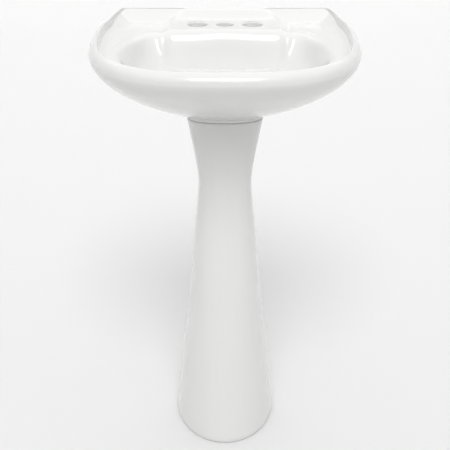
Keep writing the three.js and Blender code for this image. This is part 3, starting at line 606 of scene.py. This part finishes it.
def stopper():
    """Push-type stopper: domed cap, seal ring and stem, which slide together."""
    edge, low, high = size_of("stopper_cap")
    dome = [(0, high)] + [(edge * 0.94 * math.sin(a), high - (1 - math.cos(a)) * 5.2) for a in
                          np.radians(np.arange(8, 57, 8))]
    dome += rounded([(edge - 0.9, low + 1.9), (edge, low + 0.9), (edge - 0.6, low)], 0.4)[3:]
    lathe("stopper_cap", dome + [(0, low)], DRAIN, body="stopper")
    outer, low, high = size_of("stopper_seal")
    seal = [(outer - 3.4, low), (outer - 0.6, low), (outer, lerp(low, high, 0.5)), (outer - 0.6, high),
            (outer - 3.4, high)]
    lathe("stopper_seal", rounded(seal, 0.5), DRAIN, body="stopper")
    _, low, high = size_of("stopper_plunger")
    collar = high - 16
    stem = rounded([(0, low), (3.6, low), (4, low + 1), (4, collar - 2.5), (8.5, collar - 2.5), (8.5, collar),
                    (6, collar + 2), (6, high - 5.5), (11.5, high - 3.6), (11.5, high), (0, high)], 0.5)
    stem = [point for point in stem if point[0] > 0.6]
    lathe("stopper_plunger", [(0, low)] + stem + [(0, high)], DRAIN, body="stopper")


def spring():
    """Coil spring that holds the stopper up, built at one fixed length."""
    outer, low, high = size_of("stopper_spring")
    wire, coils, sides = 0.55, 5, 16
    turns = np.linspace(0, coils, coils * 40 + 1)[:, None]
    rise = (low + wire, low + 3.2 * wire, high - 3.2 * wire, high - wire)
    height = np.interp(turns, (0, 1, coils - 1, coils), rise)
    around = np.arange(sides) / sides * 2 * math.pi
    reach = outer - wire + wire * np.cos(around)
    angle = turns * 2 * math.pi
    points = np.stack([reach * np.cos(angle), reach * np.sin(angle), height + wire * np.sin(around)], axis=-1)
    faces = grid_faces(len(turns), sides, False)[:, ::-1].tolist()
    last = (len(turns) - 1) * sides
    faces += [list(range(sides)), list(range(last, last + sides))[::-1]]
    slot = slots["stopper_spring"]
    points = points.reshape(-1, 3) + np.array(DRAIN)
    piece = make_piece("stopper_spring_fine", points, faces, "sink", finishes[slot], 60)
    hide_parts("stopper_spring")
    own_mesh(piece)


def guide():
    """Cross-shaped guide in the bore of the drain body."""
    outer, low, high = size_of("stopper_cartridge")
    piece = lathe("stopper_cartridge", ring_outline(outer, outer - 1.6, low, high, 0.4), DRAIN)
    tools = [tool_object(*turned(ring_outline(8.6, 4.5, low, high, 0.4), DRAIN))]
    for turn in range(4):
        across, along = ((7, outer - 1), (-1, 1)) if turn % 2 == 0 else ((-1, 1), (7, outer - 1))
        side = 1 if turn < 2 else -1
        xs, ys = sorted(side * v for v in across), sorted(side * v for v in along)
        tools.append(block((xs[0], DRAIN_Y + ys[0], low + 0.5), (xs[1], DRAIN_Y + ys[1], high - 0.5)))
    combine(piece, tools, "UNION")
    piece.data.set_sharp_from_angle(angle=math.radians(32))


PIPE_RADIUS = 15.9
PIPE_BORE = 14.6
SOCKET_RADIUS = 18.5
TRAP_BEND_RADIUS = 32.0
TRAP_Y = DRAIN_Y + 2 * TRAP_BEND_RADIUS


def swept(node, stations, segments=64):
    """Hollow pipe in the YZ plane through (y, z, heading, outer, inner) stations."""
    outside = [station[:4] for station in stations]
    inside = [(*station[:3], station[4]) for station in stations][::-1]
    y, z, heading, radius = np.array(outside + inside, float).T[:, :, None]
    around = np.arange(segments) / segments * 2 * math.pi
    lift = radius * np.sin(around)
    across = radius * np.cos(around)
    points = np.stack([across, y - lift * np.sin(heading), z + lift * np.cos(heading)], axis=-1)
    faces = grid_faces(len(outside) * 2, segments, True)
    piece = make_piece(node + "_fine", points.reshape(-1, 3), faces, "sink", finishes[slots[node]], 32)
    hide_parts(node)


def bend(y, z, turn_from, turn_to, outer, inner, steps=24):
    """Stations of a bend about (y, z)."""
    side = 1 if turn_to > turn_from else -1
    headings = np.linspace(turn_from, turn_to, steps + 1)
    reach = side * TRAP_BEND_RADIUS
    return [(y + reach * math.sin(h), z - reach * math.cos(h), h, outer, inner) for h in headings]


def socket(y, mouth, direction, heading):
    """Stations from a rounded socket mouth down to the plain pipe."""
    bore = PIPE_RADIUS + 0.3
    profile = [
        (0, 17.7, 17.5), (0.3, 18.2, 17.1), (0.9, SOCKET_RADIUS, 16.7), (3, SOCKET_RADIUS, bore),
        (25, SOCKET_RADIUS, bore), (26.5, 18.2, bore), (28, 17.2, PIPE_BORE + 0.6), (29, 16.4, PIPE_BORE),
        (30.5, 16.3, PIPE_BORE),
    ]
    return [(y, mouth + direction * deep, heading, outer, inner) for deep, outer, inner in profile]


def slip_nut(node, y):
    """Round nut with grip ribs and a rounded lip."""
    low, high = box_mm(node)[:, 2]
    bore = SOCKET_RADIUS + 0.3
    rib = SOCKET_RADIUS + 4.3
    outline = [
        (bore, low), (rib, low), (rib, high - 3.4), (SOCKET_RADIUS + 3, high),
        (PIPE_RADIUS + 0.3, high), (PIPE_RADIUS + 0.3, high - 3.8), (bore, high - 4),
    ]

    def ribs(radius, height, angle):
        wave = 0.75 * np.tanh(3 * np.cos(12 * angle)) / math.tanh(3)
        return np.where((radius > rib - 0.3) & (height < high - 3.2), radius + wave, radius)

    lathe(node, densified(rounded(outline, 0.8), 1.2), (0, y, 0), segments=192, reshape=ribs)


def trap():
    """Tailpiece, J bend, wall arm, their slip nuts and washers, and the wall flange."""
    _, low, high = size_of("tailpiece")
    lathe("tailpiece", ring_outline(PIPE_RADIUS, PIPE_BORE, low, high, 0.4), DRAIN)
    inlet = box_mm("tailpiece_nut")[0][2] + 6
    union = box_mm("union_nut")[0][2] + 6
    up = math.pi / 2
    bend_z = box_mm("trap_bend")[0][2] + TRAP_BEND_RADIUS + PIPE_RADIUS + 0.4
    pipe = (PIPE_RADIUS + 0.4, PIPE_BORE)
    curve = bend(DRAIN_Y + TRAP_BEND_RADIUS, bend_z, -up, up, *pipe)
    swept("trap_bend", socket(DRAIN_Y, inlet, -1, -up) + curve + socket(TRAP_Y, union, -1, up)[::-1])
    arm_z = box_mm("wall_flange").mean(axis=0)[2]
    elbow = bend(TRAP_Y + TRAP_BEND_RADIUS, arm_z - TRAP_BEND_RADIUS, up, 0, PIPE_RADIUS, PIPE_BORE)
    start = [
        (TRAP_Y, union - 22, up, PIPE_RADIUS - 0.4, PIPE_BORE),
        (TRAP_Y, union - 21.6, up, PIPE_RADIUS, PIPE_BORE),
    ]
    end = [(WALL_Y - 0.2, arm_z, 0, PIPE_RADIUS, PIPE_BORE)]
    swept("trap_arm", start + elbow + end)
    for node, y in (("tailpiece_nut", DRAIN_Y), ("union_nut", TRAP_Y)):
        slip_nut(node, y)
    for node, y in (("tailpiece_washer", DRAIN_Y), ("union_washer", TRAP_Y)):
        outer, low, high = size_of(node)
        cone = [(PIPE_RADIUS + 0.2, low), (outer, low), (outer, low + 1.6), (PIPE_RADIUS + 0.9, high),
                (PIPE_RADIUS + 0.2, high)]
        lathe(node, rounded(cone, 0.3), (0, y, 0))
    plate = [
        (PIPE_RADIUS + 0.3, -0.4), (PIPE_RADIUS + 20, -0.4), (PIPE_RADIUS + 20, -1.4), (PIPE_RADIUS + 14, -3),
        (PIPE_RADIUS + 7, -6.4), (PIPE_RADIUS + 3, -11), (PIPE_RADIUS + 0.3, -11),
    ]
    lathe("wall_flange", rounded(plate[::-1], 1.2), (0, WALL_Y, arm_z), axis="Y", segments=128)


def wall_fixing(side, name):
    """Stud, washer and nut that hold the basin's back to the wall."""
    centre = (side * HANGER[0], WALL_Y, HANGER[2])
    low, high = box_mm("hanger_stud_" + name)[:, 1] - WALL_Y
    stud = densified(rounded([(4.1, low), (4.8, low + 0.8), (4.8, high), (2, high), (2, low)], 0.2), 0.3)
    stud = [point for point in stud if point[0] > 2.05]
    stud.sort(key=lambda point: (point[1] > low + 0.01, point[1]))
    lathe("hanger_stud_" + name, [(0, low)] + stud + [(0, high)], centre, axis="Y", segments=40,
          reshape=threaded(low + 1, high - 14, 1.5, 4.8, 0.6))
    low, high = box_mm("hanger_washer_" + name)[:, 1] - WALL_Y
    lathe("hanger_washer_" + name, ring_outline(13, 5.1, low, high, 0.4), centre, axis="Y")
    low, high = box_mm("hanger_nut_" + name)[:, 1] - WALL_Y
    nut = densified(rounded([(5.1, low), (8.5, low), (8.5, high), (5.1, high)], 0.3), 0.5)
    lathe("hanger_nut_" + name, nut, centre, axis="Y", reshape=hexagon(17, (low, high), 1.0), segments=72)


def floor_fixing(side, name):
    """Hexagon-headed screw and washer through the web in the foot."""
    centre = (side * FLOOR_SCREW_X, FLOOR_SCREW_Y, 0)
    low, high = box_mm("floor_screw_" + name)[:, 2]
    head = high - 5
    outline = rounded([(3, low), (3.6, low + 0.8), (3.6, head), (6.5, head), (6.5, high), (2, high)], 0.25)
    outline = [point for point in densified(outline, 0.5) if point[0] > 2.9 or point[1] > high - 0.01]
    outline = [point for point in outline if point[1] > low - 0.01]
    screw = [(0, low)] + outline[:-1] + [(0, high)]
    lathe("floor_screw_" + name, screw, centre, reshape=hexagon(13, (head, high), 0.8), segments=72)
    low, high = box_mm("floor_washer_" + name)[:, 2]
    lathe("floor_washer_" + name, ring_outline(11, 4, low, high, 0.35), centre)


# ------------------------------------------------------------------ materials
def linear(hex_colour):
    """Scene-linear RGBA from an sRGB hex colour."""
    parts = np.array([int(hex_colour[i:i + 2], 16) for i in (0, 2, 4)]) / 255
    low = parts / 12.92
    high = ((parts + 0.055) / 1.055) ** 2.4
    return (*np.where(parts <= 0.04045, low, high).tolist(), 1.0)


def new_material(name):
    material = bpy.data.materials.new(name)
    material.use_nodes = True
    return material, material.node_tree, material.node_tree.nodes["Principled BSDF"]


def add(tree, kind, inputs=None, **settings):
    """Adds a node, sets its properties and fills or links its inputs."""
    node = tree.nodes.new(kind)
    for key, value in settings.items():
        setattr(node, key, value)
    for key, value in (inputs or {}).items():
        if isinstance(value, bpy.types.NodeSocket):
            tree.links.new(value, node.inputs[key])
        else:
            node.inputs[key].default_value = value
    return node


def noise(tree, size_mm, detail=2.0):
    """Noise whose main features are about size_mm across, in object space."""
    place = add(tree, "ShaderNodeTexCoord")
    return add(tree, "ShaderNodeTexNoise", {
        "Vector": place.outputs["Object"], "Scale": 1000 / size_mm, "Detail": detail, "Roughness": 0.5,
    }).outputs["Fac"]


def between(tree, factor, low, high):
    """A number that follows a 0 to 1 factor from low to high."""
    return add(tree, "ShaderNodeMapRange", {"Value": factor, "To Min": low, "To Max": high}).outputs["Result"]


def bump(tree, height, distance_mm, normal=None):
    inputs = {"Height": height, "Distance": distance_mm * MM, "Strength": 1.0}
    if normal is not None:
        inputs["Normal"] = normal
    return add(tree, "ShaderNodeBump", inputs).outputs["Normal"]


def glazed_china():
    """Vitreous china: a warm white body under a clear glaze that is wavy like poured glass."""
    material, tree, surface = new_material("glazed_china")
    shade = add(tree, "ShaderNodeMix", {
        "Factor": noise(tree, 120, 1.0), "A": linear("E1E1E0"), "B": linear("E4E4E3"),
    }, data_type="RGBA")
    tree.links.new(shade.outputs["Result"], surface.inputs["Base Color"])
    waves = bump(tree, noise(tree, 38, 1.0), 0.05)
    ripple = bump(tree, noise(tree, 6, 2.0), 0.004, normal=waves)
    tree.links.new(ripple, surface.inputs["Coat Normal"])
    tree.links.new(between(tree, noise(tree, 9), 0.16, 0.22), surface.inputs["Roughness"])
    surface.inputs["Specular IOR Level"].default_value = 0.25
    surface.inputs["Coat Weight"].default_value = 0.65
    surface.inputs["Coat Roughness"].default_value = 0.03
    surface.inputs["Coat IOR"].default_value = 1.52
    return material


def metal(name, colour, low, high, grain_mm, depth_mm):
    """Metal whose polish varies from place to place, with a fine uneven skin."""
    material, tree, surface = new_material(name)
    surface.inputs["Metallic"].default_value = 1.0
    surface.inputs["Base Color"].default_value = linear(colour)
    tree.links.new(between(tree, noise(tree, grain_mm * 6), low, high), surface.inputs["Roughness"])
    tree.links.new(bump(tree, noise(tree, grain_mm, 3.0), depth_mm), surface.inputs["Normal"])
    return material


def moulded(name, colour, roughness, grain_mm, depth_mm):
    """Rubber or plastic with a faint moulded grain."""
    material, tree, surface = new_material(name)
    surface.inputs["Base Color"].default_value = linear(colour)
    spread = between(tree, noise(tree, grain_mm * 8), roughness - 0.06, roughness + 0.06)
    tree.links.new(spread, surface.inputs["Roughness"])
    tree.links.new(bump(tree, noise(tree, grain_mm, 2.0), depth_mm), surface.inputs["Normal"])
    return material


# ------------------------------------------------------------------ stage, light and camera
def studio_floor():
    """Pale floor that curves up into a backdrop far behind the sink."""
    profile = [(-25.0, 0.0), (3.0, 0.0)]
    profile += [(3.0 + 1.5 * math.sin(a), 1.5 - 1.5 * math.cos(a)) for a in np.radians(np.arange(10, 91, 10))]
    profile.append((4.5, 7.0))
    points = [(x, y, z - 0.0005) for y, z in profile for x in (-20.0, 20.0)]
    faces = [(2 * i, 2 * i + 1, 2 * i + 3, 2 * i + 2) for i in range(len(profile) - 1)]
    mesh = bpy.data.meshes.new("studio_floor")
    mesh.from_pydata(points, [], faces)
    mesh.polygons.foreach_set("use_smooth", [True] * len(faces))
    floor = bpy.data.objects.new("studio_floor", mesh)
    bpy.context.scene.collection.objects.link(floor)
    material, tree, surface = new_material("pale_paint")
    surface.inputs["Base Color"].default_value = linear("DDDDDD")
    tree.links.new(between(tree, noise(tree, 400), 0.8, 0.9), surface.inputs["Roughness"])
    mesh.materials.append(material)


def area_light(name, place, target, size, power):
    light = bpy.data.lights.new(name, "AREA")
    light.shape = "RECTANGLE"
    light.size, light.size_y = size
    light.energy = power
    lamp = bpy.data.objects.new(name, light)
    bpy.context.scene.collection.objects.link(lamp)
    lamp.location = place
    aim = np.array(target) - np.array(place)
    tilt = math.atan2(math.hypot(aim[0], aim[1]), -aim[2])
    lamp.rotation_euler = (tilt, 0, math.atan2(aim[0], -aim[1]) + math.pi)


def soft_light():
    """A broad key from above the front, a sky that dims towards the horizon, a backdrop light."""
    world = bpy.data.worlds.new("studio")
    bpy.context.scene.world = world
    world.use_nodes = True
    tree = world.node_tree
    direction = add(tree, "ShaderNodeTexCoord").outputs["Generated"]
    height = add(tree, "ShaderNodeSeparateXYZ", {"Vector": direction}).outputs["Z"]
    tree.links.new(between(tree, height, 0.03, 1.1), tree.nodes["Background"].inputs["Strength"])
    tree.nodes["Background"].inputs["Color"].default_value = (1, 1, 1, 1)
    sun = bpy.data.lights.new("key", "SUN")
    sun.energy = 1.6
    sun.angle = math.radians(26)
    lamp = bpy.data.objects.new("key", sun)
    bpy.context.scene.collection.objects.link(lamp)
    lamp.rotation_euler = (math.radians(40), 0, 0)
    area_light("backdrop", (0.0, 3.0, 3.4), (0, 3.0, 0), (5.0, 2.0), 20)


LENS_MM = 80
CAMERA_DISTANCE = 1.677
CAMERA_ABOVE_RIM = 0.466
CAMERA_LOOKS_DOWN = 26.14


def camera():
    """A long lens in front of the sink and above it, looking down on the rim."""
    data = bpy.data.cameras.new("camera")
    data.lens = LENS_MM
    data.sensor_width = 36
    item = bpy.data.objects.new("camera", data)
    bpy.context.scene.collection.objects.link(item)
    item.location = (0.0, -CAMERA_DISTANCE, RIM_HEIGHT * MM + CAMERA_ABOVE_RIM)
    item.rotation_euler = (math.radians(90 - CAMERA_LOOKS_DOWN), 0, 0)
    bpy.context.scene.camera = item


# ------------------------------------------------------------------ build
finishes = {
    "china": glazed_china(),
    "chrome": metal("polished_chrome", "D8DADC", 0.04, 0.09, 5, 0.003),
    "brass": metal("machined_brass", "B8924E", 0.28, 0.42, 1.5, 0.01),
    "zinc_steel": metal("zinc_plated_steel", "A9ADB0", 0.3, 0.45, 1.2, 0.01),
    "rubber": moulded("black_rubber", "26262A", 0.75, 0.8, 0.03),
    "white_plastic": moulded("white_plastic", "E4E4DE", 0.42, 0.6, 0.02),
}
slots = {part["node"]: part["material_slot"] for part in frame["record"]["subparts"]}
for node, item in frame["nodes"].items():
    item.data.materials.clear()
    item.data.materials.append(finishes[slots[node]])

basin(finishes["china"])
pedestal(finishes["china"])
drain()
stopper()
spring()
guide()
trap()
for side, name in ((-1, "left"), (1, "right")):
    wall_fixing(side, name)
    floor_fixing(side, name)
studio_floor()
soft_light()
camera()
bpy.context.scene.view_settings.view_transform = "Standard"
